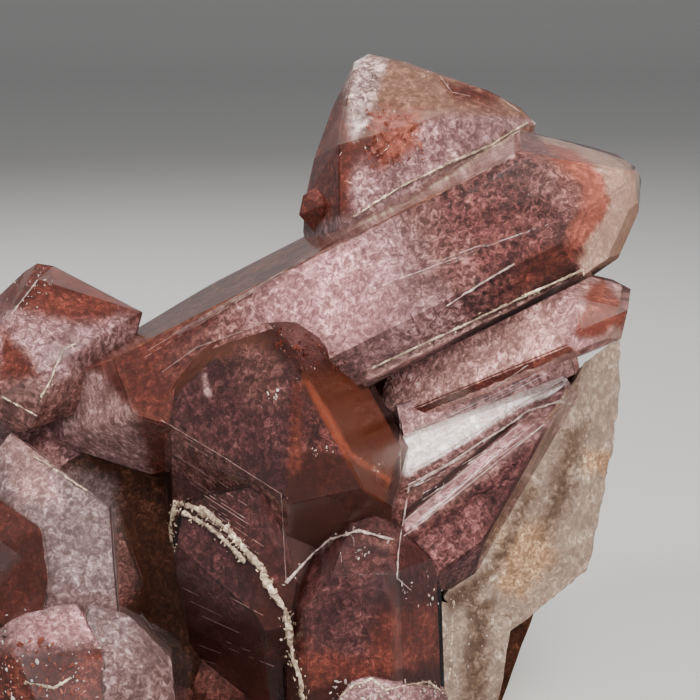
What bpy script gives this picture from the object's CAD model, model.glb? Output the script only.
"""Looks of a phantom quartz cluster: clear quartz with granular mauve phantoms inside, on milky quartz.

Places are millimetres as seen from the front: across (to the right), up, and toward the viewer. The
layout is leaned back by its view drop and set on the frame, where every mesh is in metres, +Z up.
"""
import math
import random

import bmesh
import bpy
import numpy as np
from bpy.props import FloatProperty, FloatVectorProperty, IntProperty, PointerProperty
from mathutils import Matrix, Vector, noise
from mathutils.bvhtree import BVHTree


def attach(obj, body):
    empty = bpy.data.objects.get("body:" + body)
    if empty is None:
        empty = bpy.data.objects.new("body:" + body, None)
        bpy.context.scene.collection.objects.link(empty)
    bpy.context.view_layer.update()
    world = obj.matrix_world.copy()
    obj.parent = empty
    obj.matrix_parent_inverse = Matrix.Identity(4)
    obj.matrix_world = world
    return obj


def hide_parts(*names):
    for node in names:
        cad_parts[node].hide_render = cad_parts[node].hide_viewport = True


bl_info = {
    "name": "Phantom quartz cluster",
    "version": (1, 0, 0),
    "blender": (4, 5, 0),
    "location": "View3D > Sidebar > Quartz",
    "description": "Builds a phantom quartz cluster around its packed solid",
    "category": "Object",
}

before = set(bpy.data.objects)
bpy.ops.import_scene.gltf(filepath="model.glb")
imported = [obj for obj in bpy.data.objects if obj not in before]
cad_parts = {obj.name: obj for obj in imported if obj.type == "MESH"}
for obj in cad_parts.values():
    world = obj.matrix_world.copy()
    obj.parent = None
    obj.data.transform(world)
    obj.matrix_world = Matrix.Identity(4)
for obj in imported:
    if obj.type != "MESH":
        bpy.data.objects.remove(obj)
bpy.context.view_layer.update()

MM = 0.001
NODE = "quartz_cluster"

# The layout that the solid was drawn in
VIEW_DROP = 12.0
VIEW_DISTANCE = 300.0
BASE_BELOW_CENTRE = 57.0
LAYOUT_ORIGIN = Vector((8.771, 1.112, 57.0))
TIP_SLOPE = 51.79
ROOT_REACH = 60.0
BLANK = 400.0

# Whole crystals, at quartz's own angles: a point on the axis, where the axis points in the picture,
# how far the tip leans toward the viewer, the turn about the axis, the distances of the six prism
# faces, and where each of the six end faces would cross the axis at the tip and at the root
CRYSTALS = {
    "main": dict(centre=(2.7, 9.3, 0.0), heading=26.5, rise=9.1, turn=-21.5,
                 sides=(15.2, 19.5, 10.4, 13.0, 24.0, 8.6),
                 tip=(51.8, 54.4, 46.8, 47.0, 50.2, 39.4),
                 root=(54.3, 53.5, 52.0, 52.0, 52.0, 54.9)),
    "lower": dict(centre=(21.7, -1.1, 3.0), heading=24.1, rise=38.0, turn=-33.9,
                  sides=(6.5, 8.5, 3.8, 8.0, 8.0, 6.0),
                  tip=(26.9, 27.8, 24.8, 26.0, 27.5, 22.9),
                  root=(26.0,) * 6),
    "front": dict(centre=(-9.1, -7.2, 14.0), heading=87.4, rise=41.6, turn=19.7,
                  sides=(16.0, 17.2, 11.3, 14.0, 15.8, 11.5),
                  tip=(17.4, 14.5, 16.2, 16.0, 19.8, 12.4),
                  root=(ROOT_REACH,) * 6),
    "front_left": dict(centre=(-13.4, -23.9, 17.0), heading=93.0, rise=43.8, turn=10.0,
                       sides=(13.0, 8.9, 9.0, 9.0, 10.9, 7.5),
                       tip=(9.9, 9.0, 9.0, 9.0, 12.2, 5.2),
                       root=(ROOT_REACH,) * 6),
    "front_low": dict(centre=(1.2, -24.3, 14.0), heading=92.1, rise=4.7, turn=0.5,
                      sides=(8.9, 8.8, 10.3, 10.0, 7.8, 11.3),
                      tip=(6.4, 6.8, 6.0, 6.0, 6.0, 5.4),
                      root=(ROOT_REACH,) * 6),
}
BREAKS = {
    "main": [((40.6, 25.4, 0.0), (0.72, 0.69, 0.1)), ((42.0, 21.5, 0.0), (0.98, 0.1, 0.2))],
    "lower": [((39.6, 7.0, 5.0), (0.95, -0.2, 0.1))],
    "front": [((-6.9, -2.2, 26.0), (0.42, 0.78, 0.46))],
}

# Broken and half-buried pieces, each the solid that wraps its corners, and how deep each goes back
ROUGH = {
    "upper_back": [(-6.7, 16.9, -16), (-6.4, 21.7, -16), (-5.1, 27.4, -16), (-2.4, 34.9, -16),
                   (0.6, 41.1, -16), (2.7, 42.3, -16), (7.4, 41.3, -16), (19.7, 37.1, -16),
                   (24.4, 34.6, -16), (26.6, 32.3, -16), (24.0, 12.0, -12), (-4.0, 4.0, -12),
                   (-1.7, 17.9, -3), (-1.7, 29.3, -5), (-0.7, 34.9, -8), (0.3, 39.7, -13),
                   (8.9, 32.3, -5), (13.9, 34.0, -6), (21.4, 31.7, -7), (7.4, 40.6, -13)],
    "lump": [(-7.3, 19.3, -12), (-6.7, 22.1, -12), (-4.6, 23.4, -12), (-1.9, 22.6, -12),
             (-1.6, 17.7, -12), (-4.6, 16.3, -12), (-4.0, 20.7, -7)],
    "left_upper": [(-57.0, 0.0, -9), (-50.0, 7.9, -8), (-46.4, 11.3, -8), (-44.7, 12.4, -8),
                   (-42.3, 12.0, -8), (-36.0, 8.7, -7), (-29.6, 5.4, -6), (-32.9, -7.1, -6),
                   (-56.0, -14.0, -9), (-44.6, 10.1, -3), (-49.3, 4.0, 4), (-56.0, -1.0, 2),
                   (-44.7, -3.4, 7), (-43.7, -7.7, 6), (-39.1, -0.1, 5), (-51.4, -7.1, 5),
                   (-57.5, -8.0, 3), (-45.7, -11.4, 4)],
    "left_mid": [(-48.6, -11.7, 3), (-45.3, -15.1, 6), (-37.6, -20.0, 7.5), (-34.1, -22.6, 8),
                 (-33.6, -30.9, 9.5), (-32.6, -41.4, 9), (-42.9, -32.4, 10.5), (-47.1, -25.7, 9),
                 (-48.9, -18.0, 6), (-48.1, -21.7, 8), (-50.0, -38.6, 8), (-56.0, -22.0, 0),
                 (-58.0, -44.0, 0)],
    "left_wedge": [(-50.0, -21.4, 8), (-44.0, -25.4, 11.5), (-42.9, -32.4, 12), (-50.0, -27.3, 11),
                   (-55.0, -20.0, 5), (-59.0, -29.0, 6), (-50.0, -39.3, 10), (-57.0, -43.0, 4),
                   (-44.3, -41.4, 9)],
    "low_left": [(-47.9, -43.0, 15), (-47.3, -38.1, 11), (-45.9, -37.3, 10), (-39.1, -35.9, 10),
                 (-38.0, -41.4, 14), (-35.4, -42.6, 15), (-35.0, -44.4, 15.5), (-35.4, -72.0, 15),
                 (-48.9, -44.6, 14), (-48.3, -72.0, 12), (-56.0, -42.0, 5), (-54.0, -72.0, 4)],
    "low_left_side": [(-37.3, -35.1, 9), (-33.6, -36.9, 9), (-31.0, -38.4, 9), (-25.6, -43.9, 9),
                      (-25.4, -45.4, 10), (-28.6, -47.0, 14), (-35.1, -44.4, 15),
                      (-38.0, -41.4, 13), (-22.9, -72.0, 12), (-35.7, -72.0, 15)],
    "small_low": [(-1.9, -50.0, 24), (0.1, -47.4, 23), (2.6, -46.6, 23), (5.6, -47.7, 24),
                  (7.4, -49.1, 24), (9.3, -48.1, 22), (12.1, -48.4, 20), (14.0, -49.4, 17),
                  (14.0, -72.0, 17), (-2.5, -72.0, 25), (3.0, -51.0, 26.5), (8.0, -52.0, 25)],
    "matrix": [(33.7, -1.3, 2), (38.7, 2.3, -4), (38.7, -5.0, -6), (38.4, -9.4, -6),
               (37.4, -15.1, -6), (36.6, -19.1, -6), (34.4, -26.4, -5), (34.0, -31.7, -4),
               (28.9, -35.7, -2), (23.6, -39.6, 0), (21.0, -42.1, 0), (12.9, -35.7, 7),
               (24.3, -27.1, 5), (30.0, -18.6, 3), (32.1, -7.1, 3)],
    "matrix_foot": [(21.0, -42.1, 0), (19.1, -47.7, 0), (17.1, -72.0, -2), (11.4, -72.0, 4),
                    (12.9, -35.7, 7), (23.6, -38.0, 1)],
    "lower_foot": [(6.4, -8.0, 2), (13.6, -6.0, 3), (25.7, -0.6, 4), (31.0, 1.0, 4), (32.3, -3.4, 3),
                   (29.0, -5.0, 4), (25.7, -5.0, 4), (17.1, -10.5, 3), (7.9, -15.0, 2)],
}
ROUGH_DEPTH = {"lower_foot": 8.0, "upper_back": 12.0, "lump": 6.0, "left_upper": 14.0, "left_mid": 18.0,
               "left_wedge": 14.0, "low_left": 20.0, "low_left_side": 18.0, "small_low": 12.0,
               "matrix": 26.0, "matrix_foot": 26.0}
ROUGH_NARROWING = 0.82
MILKY = ("matrix", "matrix_foot")
UPRIGHT = ("front", "front_left", "front_low")

# The dark heart in the middle of the cluster, wrapped like the broken pieces
HEART = [(-52.0, -24.0, -6), (-34.0, -12.0, -5), (-15.0, 2.0, -4), (28.0, 6.0, -4),
         (33.0, -4.0, -5), (30.0, -28.0, -4), (20.0, -41.0, -4), (14.0, -72.0, -2), (-50.0, -72.0, 0)]
HEART_DEPTH = 17.0

# The stepped crystal on the right: its section as (up, toward) at its near and far ends
STEPPED_CENTRE = (19.3, -21.4)
STEPPED_HEADING = 35.0
STEPPED_ENDS = (-17.0, 19.5)
STEPPED_MEASURED = (-12.0, 12.0)
STEPPED_NEAR = [(12.0, -6.0), (16.2, 5.5), (9.7, 9.6), (8.0, 9.2), (4.1, 11.4), (2.4, 12.6),
                (1.3, 11.9), (-5.1, 11.6), (-8.8, 5.0), (-8.0, -6.0)]
STEPPED_FAR = [(7.0, -6.0), (9.95, 5.5), (8.1, 8.2), (7.0, 7.8), (6.3, 9.4), (3.95, 12.0),
               (1.5, 11.4), (-5.1, 11.6), (-8.8, 5.0), (-8.0, -6.0)]
STEPPED_CUTS = [((12.0, 2.5, 11.0), (0.42, -0.86, 0.28)), ((19.0, 5.0, 9.0), (0.93, 0.2, 0.3)),
                ((-14.9, -3.0, 11.8), (-0.9, -0.35, 0.25)), ((-9.0, -8.6, 6.0), (-0.35, -0.9, 0.2))]

# Crystals on the hidden side
BACK_CRYSTALS = {
    "back_tall_left": dict(centre=(-28.0, -20.0, -18.0), heading=105.0, rise=-12.0, turn=12.0,
                           girth=10.5, reach=24.0, root_reach=ROOT_REACH),
    "back_tall_middle": dict(centre=(-6.0, -14.0, -20.0), heading=85.0, rise=-18.0, turn=25.0,
                             girth=12.5, reach=28.0, root_reach=ROOT_REACH),
    "back_tall_right": dict(centre=(13.0, -24.0, -16.0), heading=62.0, rise=-15.0, turn=5.0,
                            girth=10.0, reach=23.0, root_reach=ROOT_REACH),
    "back_upper": dict(centre=(10.0, 10.0, -20.0), heading=75.0, rise=-12.0, turn=20.0,
                       girth=11.0, reach=20.0, root_reach=30.0),
    "back_left_upper": dict(centre=(-46.0, -8.0, -16.0), heading=110.0, rise=-15.0, turn=8.0,
                            girth=8.5, reach=12.0, root_reach=44.0),
    "back_left_low": dict(centre=(-40.0, -36.0, -14.0), heading=160.0, rise=-38.0, turn=30.0,
                          girth=9.0, reach=19.0, root_reach=20.0),
    "back_middle_low": dict(centre=(-16.0, -38.0, -18.0), heading=100.0, rise=-58.0, turn=14.0,
                            girth=8.5, reach=20.0, root_reach=20.0),
    "back_right_low": dict(centre=(4.0, -40.0, -18.0), heading=30.0, rise=-50.0, turn=18.0,
                           girth=7.0, reach=19.0, root_reach=20.0),
    "back_right": dict(centre=(24.0, -10.0, -14.0), heading=35.0, rise=-52.0, turn=26.0,
                       girth=7.5, reach=20.0, root_reach=20.0),
}
SMALL_FACE_STEP = 1.6
SIDE_SPREAD = 0.07

# Tones inside the quartz: linear red, green and blue, and how strong the grain is
PALE = (0.39, 0.205, 0.21, 0.7)
MAUVE = (0.25, 0.14, 0.142, 0.75)
DUSK = (0.15, 0.068, 0.06, 0.8)
PURPLE = (0.088, 0.027, 0.024, 1.0)
PLUM = (0.054, 0.018, 0.017, 0.75)
RED = (0.27, 0.08, 0.055, 0.45)
RUST = (0.092, 0.021, 0.0135, 0.6)
BROWN_RED = (0.034, 0.0065, 0.0035, 0.4)
ORANGE_BROWN = (0.058, 0.0108, 0.0026, 0.12)
ORANGE = (0.17, 0.036, 0.015, 0.15)
BAND = (0.068, 0.021, 0.011, 0.2)
GREY = (0.185, 0.128, 0.126, 0.6)
BEIGE = (0.125, 0.043, 0.023, 0.75)
FROST = (0.95, 0.88, 0.86, 0.35)
SPARKLE = (0.44, 0.33, 0.31, 0.9)
SOFT = (0.33, 0.195, 0.185, 0.6)
RIM = (0.34, 0.215, 0.165, 0.25)
WINE = (0.092, 0.033, 0.032, 0.95)
SHADE = (0.105, 0.042, 0.036, 0.8)
BRIGHT = (0.70, 0.42, 0.39, 0.7)
EMBER = (0.20, 0.050, 0.033, 0.5)
DARK = (0.024, 0.0065, 0.0045, 0.35)
UMBER = (0.052, 0.018, 0.009, 0.6)
AMBER = (0.19, 0.098, 0.068, 0.45)
MILK = (0.36, 0.262, 0.200, 0.40)
STAIN = (0.46, 0.28, 0.16, 0.6)
HOLLOW = (0.15, 0.095, 0.065, 0.50)

# How each phantom lies in its crystal: clear quartz over its six sides and along the axis to each tip
# and root face, and its tones from the root to the tip as (share of the length, tone), for all faces
# and then for the faces named; past the last share the tone stays
PHANTOMS = {
    "main": dict(skin=(0.5, 0.6, 1.0, 1.2, 0.8, 0.4), tip_gap=(2.4, 2.4, 3.0, 3.0, 2.4, 1.6), root_gap=0.7,
                 break_gap=1.8,
                 tones={"all": [(0.0, MAUVE), (0.08, RUST), (0.24, RUST), (0.39, DUSK), (0.47, PALE),
                                (0.59, PALE), (0.66, MAUVE), (0.71, DUSK), (0.76, PURPLE), (0.85, PURPLE),
                                (0.92, DUSK), (1.0, RUST)],
                        "m5": [(0.0, RUST), (0.14, RUST), (0.22, BEIGE), (0.48, BEIGE), (0.6, DUSK),
                               (0.72, BEIGE), (0.88, SOFT), (1.0, RIM)],
                        "m1": [(0.0, RUST), (0.45, DUSK), (0.6, MAUVE), (0.75, PURPLE), (0.9, BROWN_RED),
                               (1.0, RUST)]}),
    "lower": dict(skin=(0.5, 0.5, 0.8, 0.8, 0.8, 0.6), tip_gap=(1.4,) * 6, root_gap=0.8,
                  break_gap=1.2,
                  tones={"all": [(0.0, MAUVE), (0.1, BRIGHT), (0.8, BRIGHT), (0.9, PALE), (1.0, RIM)],
                         "m1": [(0.0, RUST), (0.6, RUST), (1.0, RED)]}),
    "front": dict(skin=(0.5, 1.3, 1.5, 1.5, 1.2, 0.5), tip_gap=(0.8, 0.9, 1.5, 1.5, 1.6, 0.8), root_gap=0.0,
                  break_gap=0.4,
                  tones={"all": [(0.0, DARK), (0.6, BROWN_RED)],
                         "t5": [(0.0, PLUM)],
                         "t4": [(0.0, BAND)],
                         "t1": [(0.0, ORANGE_BROWN)],
                         "m5": [(0.0, DARK), (0.6, SHADE)]}),
    "front_left": dict(skin=(0.6, 0.6, 1.0, 1.0, 0.8, 0.6), tip_gap=(0.9,) * 6, root_gap=0.0,
                       break_gap=0.0,
                       tones={"all": [(0.0, BROWN_RED), (0.8, BROWN_RED), (0.95, PLUM)]}),
    "front_low": dict(skin=(0.5, 0.5, 1.0, 1.0, 0.8, 0.5), tip_gap=(0.8,) * 6, root_gap=0.0,
                      break_gap=0.0,
                      tones={"all": [(0.0, BROWN_RED), (0.6, BROWN_RED), (0.85, PLUM)]}),
}
ROUGH_PHANTOMS = {
    "upper_back": dict(shrink=0.965, tones=[(0.0, GREY), (0.45, MAUVE), (0.6, RUST), (0.8, AMBER)]),
    "left_upper": dict(shrink=0.975, tones=[(0.0, DUSK), (0.35, DUSK), (0.62, MAUVE), (0.8, RUST)]),
    "left_mid": dict(shrink=0.975, tones=[(0.0, DUSK), (0.4, GREY)]),
    "left_wedge": dict(shrink=0.97, tones=[(0.0, RUST), (0.6, BROWN_RED), (1.0, RUST)]),
    "low_left": dict(shrink=0.975, tones=[(0.0, RUST), (0.7, RUST), (1.0, GREY)]),
    "low_left_side": dict(shrink=0.975, tones=[(0.0, DUSK), (1.0, GREY)]),
    "small_low": dict(shrink=0.97, tones=[(0.0, RUST), (1.0, MAUVE)]),
    "lump": dict(shrink=0.97, tones=[(0.0, RUST)]),
    "lower_foot": dict(shrink=0.98, tones=[(0.0, PALE), (1.0, BRIGHT)]),
}
STEPPED_TONES = [(0.0, RUST), (0.30, PURPLE), (0.5, DUSK), (1.0, MAUVE)]
BACK_TONES = [(0.0, RUST), (0.4, DUSK), (0.85, PALE), (1.0, RED)]
HEART_TONES = [(0.0, UMBER), (0.7, UMBER), (1.0, DARK)]
MILKY_TONES = [(0.0, HOLLOW), (0.2, MILK)]

# The grain group's colours, by which a tone is multiplied: of single grains and of whole patches
GRAIN_STOPS = [(0.37, (0.08, 0.04, 0.04)), (0.45, (0.38, 0.29, 0.29)), (0.51, (0.95, 0.90, 0.90)),
               (0.57, (1.8, 1.85, 1.88)), (0.65, (3.9, 4.3, 4.5))]
CLOUD_STOPS = [(0.33, (0.40, 0.33, 0.33)), (0.50, (0.95, 0.93, 0.93)), (0.66, (1.65, 1.75, 1.78))]

# Coloured areas that a phantom shows from the front: the tone, how soft its rim is, and its corners
# as columns and rows of a frame 700 points wide and high
AREAS = {
    "main": [(SOFT, 5.0, [(70, 372), (106, 370), (134, 412), (92, 428), (45, 441)]),
             (SOFT, 6.0, [(45, 441), (92, 428), (134, 412), (160, 505), (60, 470)]),
             (RED, 4.0, [(545, 150), (572, 156), (602, 178), (606, 201), (602, 216), (578, 250), (566, 236),
                         (582, 208), (578, 186), (558, 168)]),
             (RIM, 2.5, [(524, 112), (580, 120), (620, 140), (655, 175), (655, 225), (622, 262), (588, 280),
                         (575, 252), (601, 214), (606, 201), (602, 179), (572, 156), (545, 149), (528, 138)]),
             (BRIGHT, 3.0, [(365, 368), (373, 371), (450, 336), (530, 298), (586, 273), (610, 290),
                            (530, 340), (450, 380), (380, 410)]),
             (RUST, 6.0, [(96, 366), (150, 345), (225, 306), (215, 322), (160, 356), (128, 402)]),
             (RUST, 4.0, [(512, 290), (530, 256), (574, 238), (580, 252), (560, 268)])],
    "lower": [(RUST, 4.0, [(490, 396), (530, 372), (580, 347), (590, 400), (490, 420)]),
              (EMBER, 2.5, [(588, 292), (603, 283), (621, 307), (618, 322), (598, 336), (576, 336)])],
    "front": [(BAND, 3.0, [(155, 372), (245, 325), (270, 318), (282, 376), (265, 360), (249, 349),
                           (229, 357), (197, 366), (160, 384)]),
              (PURPLE, 2.5, [(303, 392), (301, 452), (344, 454)]),
              (ORANGE, 1.2, [(303, 380), (307, 382), (328, 413), (350, 453), (390, 480), (388, 484),
                             (346, 458), (323, 420)]),
              (RUST, 2.5, [(292, 380), (302, 384), (300, 470), (288, 476)]),
              (SHADE, 6.0, [(238, 345), (284, 355), (290, 402), (262, 412), (238, 380)]),
              (SOFT, 2.0, [(202, 376), (206, 374), (212, 396), (207, 396)]),
              (BROWN_RED, 6.0, [(264, 322), (300, 329), (350, 361), (345, 374), (301, 374), (262, 336)])],
    "front_left": [(PLUM, 6.0, [(170, 550), (180, 512), (215, 530), (260, 600), (240, 620), (180, 570)])],
    "front_low": [(SHADE, 2.5, [(350, 540), (370, 533), (394, 542), (396, 555), (376, 547)]),
                  (GREY, 2.5, [(312, 618), (326, 606), (341, 604), (338, 614), (320, 628)]),
                  (RUST, 6.0, [(300, 640), (440, 600), (440, 660), (300, 690)]),
                  (PLUM, 8.0, [(300, 590), (345, 560), (380, 580), (370, 660), (310, 650)])],
    "upper_back": [(RUST, 4.0, [(440, 84), (492, 92), (500, 108), (452, 100)]),
                   (MAUVE, 5.0, [(352, 214), (412, 126), (447, 114), (528, 122), (440, 172)]),
                   (RUST, 4.0, [(300, 235), (325, 100), (343, 78), (352, 140), (350, 214)]),
                   (RED, 6.0, [(368, 112), (420, 112), (416, 150), (380, 168)]),
                   (SPARKLE, 5.0, [(354, 56), (386, 58), (376, 94), (362, 132), (352, 140), (350, 90)])],
    "left_upper": [(RUST, 6.0, [(0, 300), (37, 262), (66, 272), (140, 316), (70, 322)]),
                   (MAUVE, 8.0, [(30, 335), (100, 330), (76, 370), (46, 388)]),
                   (RUST, 5.0, [(0, 327), (19, 347), (40, 376), (0, 380)])],
    "left_mid": [(SOFT, 10.0, [(0, 405), (40, 440), (60, 500), (20, 500), (0, 440)]),
                 (RUST, 6.0, [(0, 500), (24, 520), (40, 600), (0, 560)])],
    "low_left": [(PALE, 8.0, [(10, 620), (90, 604), (104, 640), (16, 650)]),
                 (RUST, 6.0, [(10, 668), (104, 650), (110, 700), (10, 700)])],
    "stepped": [(FROST, 2.0, [(404, 434), (469, 405), (528, 363), (575, 362), (560, 392), (520, 405),
                              (455, 447), (406, 475)]),
                (PALE, 1.5, [(404, 524), (453, 482), (520, 425), (536, 428), (459, 492), (404, 538)]),
                (DARK, 1.2, [(404, 512), (453, 470), (520, 413), (522, 418), (455, 477), (404, 519)]),
                (WINE, 3.0, [(395, 580), (404, 545), (545, 432), (570, 425), (500, 545), (440, 606)]),
                (BROWN_RED, 4.0, [(440, 612), (500, 548), (572, 410), (585, 400), (560, 500), (450, 620)])],
    "heart": [(GREY, 8.0, [(70, 470), (112, 480), (118, 560), (104, 640), (80, 640)])],
    "milky": [(STAIN, 7.0, [(500, 530), (548, 520), (556, 560), (520, 600), (498, 590)]),
              (STAIN, 5.0, [(585, 448), (612, 452), (606, 475), (584, 470)]),
              (HOLLOW, 8.0, [(566, 430), (590, 420), (572, 500), (540, 545), (545, 500)]),
              (HOLLOW, 6.0, [(470, 600), (492, 600), (486, 700), (462, 700)]),
              (HOLLOW, 4.0, [(446, 596), (490, 566), (530, 480), (538, 488), (502, 570), (470, 600),
                             (448, 612)])],
}

# Seams and worn edges on the surface: tone, half width in millimetres, and their corners in the frame
CREAM = (0.62, 0.50, 0.36, 0.8)
WORN = (0.55, 0.42, 0.38, 0.45)
FAINT = (0.30, 0.19, 0.17, 0.45)
SEAMS = [
    (CREAM, 0.52, [(171, 548), (170, 526), (175, 504), (188, 505), (207, 514), (226, 528), (238, 543),
                   (260, 568), (269, 587), (285, 610), (289, 628), (292, 659), (299, 676), (302, 699)]),
    (CREAM, 0.34, [(182, 512), (204, 524), (222, 538), (244, 562)]),
    (CREAM, 0.16, [(33, 456), (45, 462), (60, 472), (87, 490)]),
    (CREAM, 0.14, [(2, 397), (20, 407), (37, 416)]),
    (CREAM, 0.20, [(25, 682), (54, 688), (71, 678)]),
    (CREAM, 0.18, [(454, 600), (452, 640), (450, 672), (447, 685)]),
    (CREAM, 0.16, [(337, 699), (352, 686), (372, 678), (385, 690), (410, 684), (430, 682), (448, 696)]),
    (WORN, 0.22, [(286, 583), (313, 554), (331, 539), (359, 530), (379, 536), (394, 539)]),
    (WORN, 0.20, [(409, 485), (451, 462), (479, 443), (508, 425), (527, 411), (559, 401), (571, 404)]),
    (WORN, 0.10, [(409, 485), (405, 509), (399, 548), (397, 578), (411, 590)]),
    (WORN, 0.11, [(404, 521), (453, 480), (520, 423)]),
    (WORN, 0.08, [(404, 536), (459, 492), (538, 429)]),
    (WORN, 0.09, [(405, 435), (469, 406), (528, 365)]),
    (WORN, 0.09, [(407, 474), (455, 446), (520, 404), (552, 387)]),
    (CREAM, 0.20, [(373, 368), (450, 332), (530, 294), (584, 270)]),
    (CREAM, 0.18, [(354, 217), (400, 187), (450, 163), (490, 146), (528, 122)]),
    (FAINT, 0.08, [(231, 303), (340, 236), (440, 180), (525, 131)]),
    (WORN, 0.07, [(404, 62), (440, 73), (470, 82), (496, 94), (520, 112)]),
    (WORN, 0.07, [(440, 76), (452, 92), (470, 96)]),
    (WORN, 0.13, [(447, 306), (480, 284), (514, 264)]),
    (FAINT, 0.06, [(161, 420), (220, 455), (281, 494), (284, 540), (286, 583)]),
    (FAINT, 0.09, [(162, 372), (197, 347), (243, 331), (262, 322)]),
    (FAINT, 0.08, [(392, 385), (400, 420), (401, 484)]),
    (WORN, 0.12, [(12, 313), (37, 280)]),
    (CREAM, 0.16, [(76, 343), (63, 350), (57, 364), (50, 382), (41, 398)]),
]
# Growth lines: tone, how many, half width, and the four corners of the face they cross, in order; they
# run between the side that joins the last corner to the first and the side opposite it
LINED = [
    (FAINT, 18, 0.035, [(163, 422), (281, 495), (285, 578), (169, 500)]),
    (FAINT, 9, 0.04, [(172, 560), (262, 610), (280, 690), (190, 660)]),
    (FROST, 12, 0.05, [(405, 436), (552, 366), (552, 388), (407, 474)]),
    (WORN, 7, 0.05, [(404, 486), (560, 400), (545, 430), (404, 540)]),
    (FAINT, 10, 0.035, [(120, 365), (330, 240), (322, 250), (130, 368)]),
]
# The smallest and largest share that dice give a line's place, start, length and width
LINE_PLACE = (0.1, 0.9)
LINE_START = (0.0, 0.55)
LINE_LENGTH = (0.15, 0.6)
LINE_WIDTH = (0.6, 1.3)

# Seams: how their width swells along them, then steps and strays in frame points, the share of the
# width that lies sunk, and the longest link and smallest half width in millimetres
SWELL_LENGTH = 6.0
SWELL_LEVEL = 0.9
SWELL = 0.8
SWELL_DICE = 0.25
SEAM_STEP = 2.8
SEAM_STRAY = 0.25
SEAM_SUNK = 0.75
SEAM_JUMP = 2.5
SEAM_GONE = 0.02
SEAM_SIDES = 6

# Crumbs and flakes on broken zones: tone, how many, the smallest and largest size, and the zone's
# corners in frame points
FLAKE = (0.62, 0.54, 0.50, 0.2)
CRUMBS = [
    (SPARKLE, 80, 0.10, 0.40, [(356, 62), (372, 58), (388, 66), (378, 110), (356, 146), (350, 120)]),
    (RED, 36, 0.30, 0.80, [(365, 110), (420, 110), (425, 160), (365, 168)]),
    (FLAKE, 24, 0.06, 0.22, [(365, 110), (420, 110), (425, 165), (365, 170)]),
    (SPARKLE, 40, 0.08, 0.30, [(404, 58), (500, 92), (505, 106), (440, 92), (404, 72)]),
    (RUST, 60, 0.20, 0.60, [(266, 324), (300, 331), (348, 362), (343, 374), (301, 372), (266, 336)]),
    (FLAKE, 10, 0.10, 0.35, [(350, 552), (372, 545), (370, 556), (352, 562)]),
    (FLAKE, 16, 0.05, 0.20, [(266, 324), (300, 331), (348, 362), (343, 374), (301, 372), (266, 336)]),
    (FLAKE, 2, 0.30, 0.55, [(266, 386), (279, 386), (279, 400), (266, 400)]),
    (FLAKE, 3, 0.15, 0.35, [(310, 446), (336, 446), (336, 458), (310, 458)]),
    (FLAKE, 4, 0.10, 0.28, [(374, 460), (392, 464), (388, 478), (372, 474)]),
    (FLAKE, 50, 0.03, 0.12, [(240, 300), (440, 190), (540, 150), (560, 250), (450, 300), (330, 350)]),
    (SPARKLE, 40, 0.04, 0.16, [(400, 385), (560, 300), (575, 330), (440, 400)]),
    (FLAKE, 24, 0.03, 0.10, [(170, 380), (300, 340), (395, 400), (395, 480), (290, 500), (170, 420)]),
    (FLAKE, 30, 0.10, 0.34, [(10, 285), (40, 262), (60, 272), (30, 330), (0, 330)]),
    (FLAKE, 8, 0.15, 0.45, [(398, 575), (430, 570), (440, 606), (405, 606)]),
    (FLAKE, 40, 0.10, 0.45, [(0, 610), (100, 604), (110, 699), (0, 699)]),
    (RED, 30, 0.25, 0.70, [(0, 640), (60, 640), (90, 699), (0, 699)]),
    (FLAKE, 40, 0.10, 0.40, [(330, 680), (450, 680), (450, 699), (330, 699)]),
    (FLAKE, 30, 0.10, 0.40, [(440, 590), (480, 575), (500, 640), (450, 690)]),
]
CRUMB_TRIALS = 3
CRUMB_SUNK = 0.2
CRUMB_SIZES = (0.5, 1.0)
CRUMB_SHADES = (0.7, 1.25)
FLAKE_WIDTH = 0.62
FLAKE_FLATNESS = 0.35
FLAKE_SMALLEST = (0.45, 0.45, 0.45)
FLAKE_LARGEST = (1.5, 1.3, 1.1)

# Crumbs that crust the seams: the seam's half width that earns each crumb at a step, how far they
# stray in frame points, and their sizes in millimetres
CRUSTED = 0.15
CRUST_SPREAD = 1.7
CRUST_SIZE = 0.3
CRUST_SIZES = (0.35, 1.15)

FRAME_POINTS = 700
POINTS_PER_MM = 7.0

# Gaps in millimetres, and shrinking as a share, of what lies inside clear quartz
BASE_GAP = 0.6
BACK_SKIN = 1.0
BACK_TIP_GAP = 2.5
HEART_SHRINK = 0.995
MILKY_SHRINK = 0.985

# How the clear quartz is mapped and finished: millimetres to a map unit, how near a face must lie to a
# crystal's face to be one, (lined, broken) for prism, end and broken faces, and how its edges are worn
MAP_SIZE = 10.0
SAME_FACE = 0.08
TURNED_AWAY = 40.0
PRISM_FINISH = (0.5, 0.06)
TIP_FINISH = (0.2, 0.03)
BROKEN_FINISH = (0.12, 0.8)
EDGE_SEGMENTS = 2
EDGE_ANGLE = math.radians(12.0)

# Clear quartz as a material: colours, how its lines stretch, and where it is dull and pitted
CLEAR = {"Base Color": (1.0, 0.99, 0.98, 1.0), "Transmission Weight": 1.0, "IOR": 1.544}
ABSORPTION = {"Color": (0.80, 0.66, 0.54, 1.0), "Density": 70.0}
LINE_STRETCH = (11.0, 0.8, 1.0)
DULL_FROM, DULL_TO = 0.42, 0.68
BROKEN_PITS, PITS = 1.6, 0.25

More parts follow.
